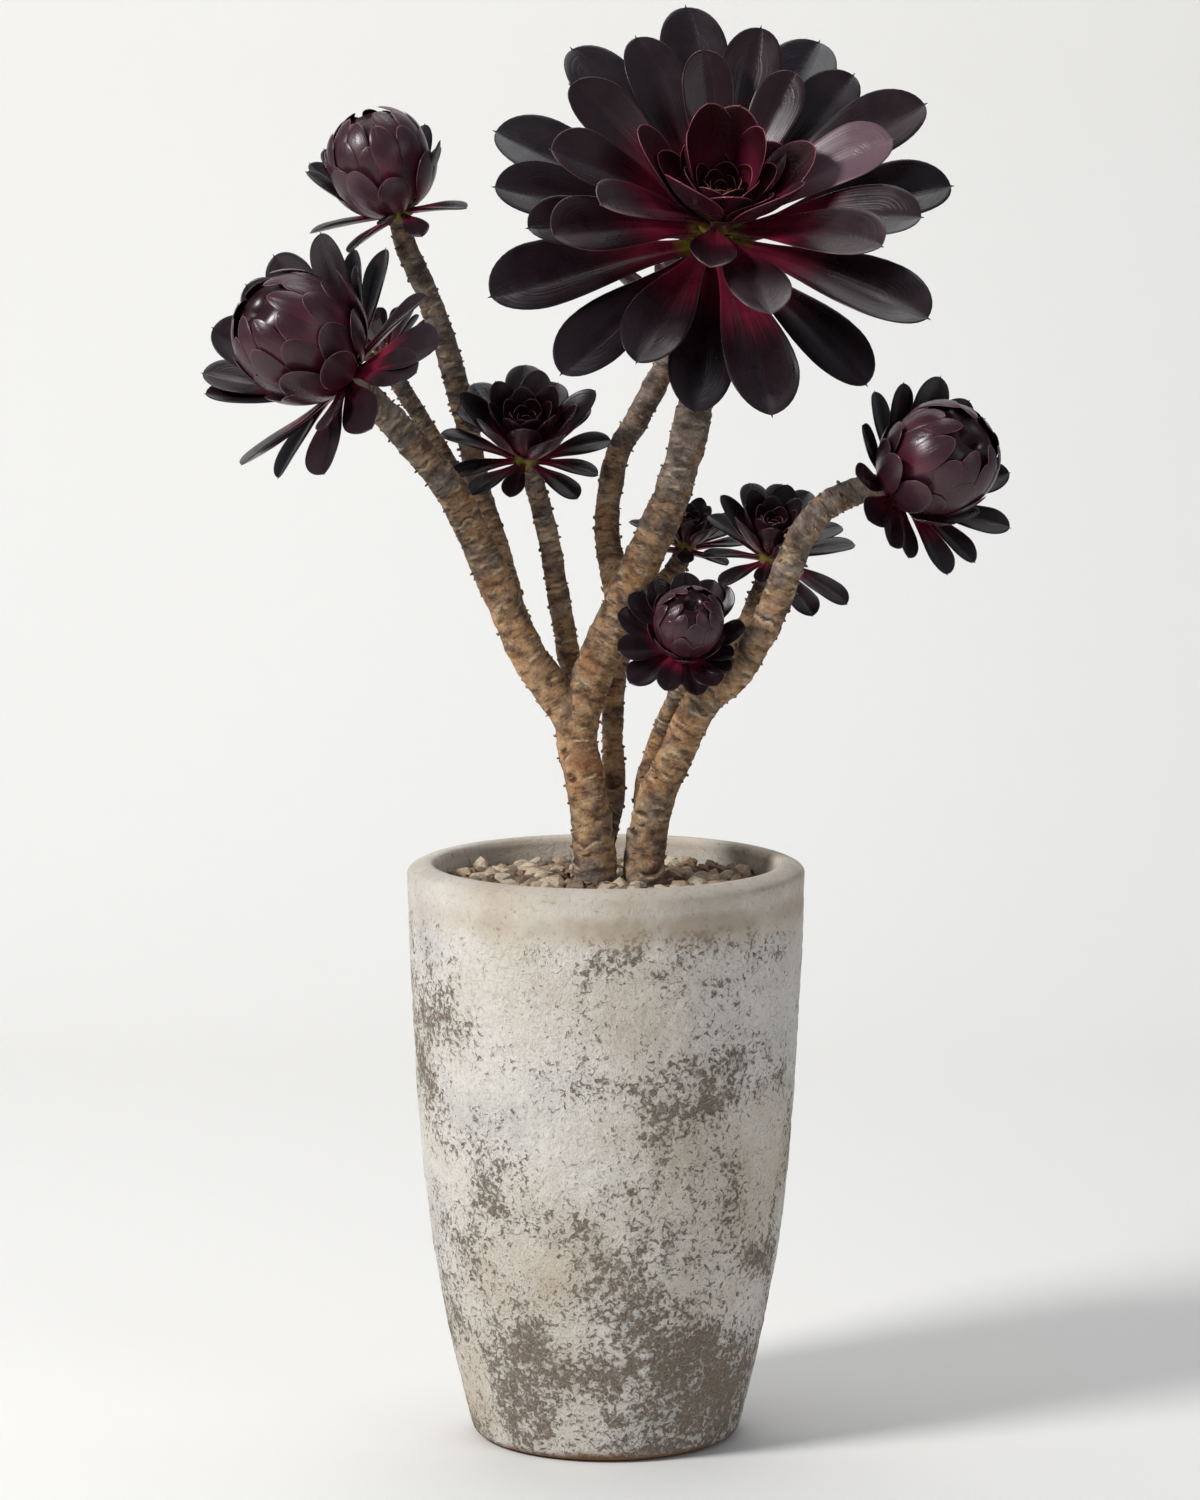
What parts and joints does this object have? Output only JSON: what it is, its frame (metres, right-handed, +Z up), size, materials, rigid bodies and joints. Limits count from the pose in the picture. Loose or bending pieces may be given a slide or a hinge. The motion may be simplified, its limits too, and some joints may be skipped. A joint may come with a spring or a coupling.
{
  "type": "potted tree aeonium",
  "caption": "Branching dark-leaved tree aeonium with open and budded rosettes on woody stems, in a tall tapered stone-finish planter topped with gravel.",
  "frame": {"origin": "centre of the planter's underside, on the ground", "axes": "+Z up along the planter's axis; -Y is the side the large rosette leans towards; +X is the side of the lower right trunk"},
  "size_m": [0.4828, 0.24, 0.8667],
  "materials": {
    "pot": "matte",
    "soil": "matte",
    "gravel": "matte",
    "bark": "matte",
    "leaf": "satin",
    "bud": "satin",
    "heart": "satin"
  },
  "bodies": {
    "root": {"back_bud": "bud", "back_leaves": "leaf", "back_stem": "bark", "front_bud": "bud", "front_leaves": "leaf", "front_shoot": "bark", "gravel_mulch": "gravel", "left_bud": "bud", "left_leaves": "leaf", "left_limb": "bark", "left_rear_stem": "bark", "left_side_shoot": "bark", "left_trunk": "bark", "main_heart": "heart", "main_leaf_01": "leaf", "main_leaf_02": "leaf", "main_leaf_03": "leaf", "main_leaf_04": "leaf", "main_leaf_05": "leaf", "main_leaf_06": "leaf", "main_leaf_07": "leaf", "main_leaf_08": "leaf", "main_leaf_09": "leaf", "main_leaf_10": "leaf", "main_leaf_11": "leaf", "main_leaf_12": "leaf", "main_leaf_13": "leaf", "main_leaf_14": "leaf", "main_leaf_15": "leaf", "main_leaf_16": "leaf", "main_leaf_17": "leaf", "main_leaf_18": "leaf", "main_leaf_19": "leaf", "main_leaf_20": "leaf", "main_leaf_21": "leaf", "main_leaf_22": "leaf", "main_leaf_23": "leaf", "main_leaf_24": "leaf", "main_leaf_25": "leaf", "main_leaf_26": "leaf", "main_leaf_27": "leaf", "main_leaf_28": "leaf", "main_leaf_29": "leaf", "middle_bud": "bud", "middle_leaves": "leaf", "middle_shoot": "bark", "pot": "pot", "potting_soil": "soil", "rear_limb": "bark", "rear_rosette": "leaf", "right_bud": "bud", "right_leaves": "leaf", "right_rear_shoot": "bark", "right_trunk": "bark", "side_rosette": "leaf", "small_right_bud": "bud", "small_right_leaves": "leaf", "upper_bud": "bud", "upper_leaves": "leaf"}
  },
  "joints": []
}
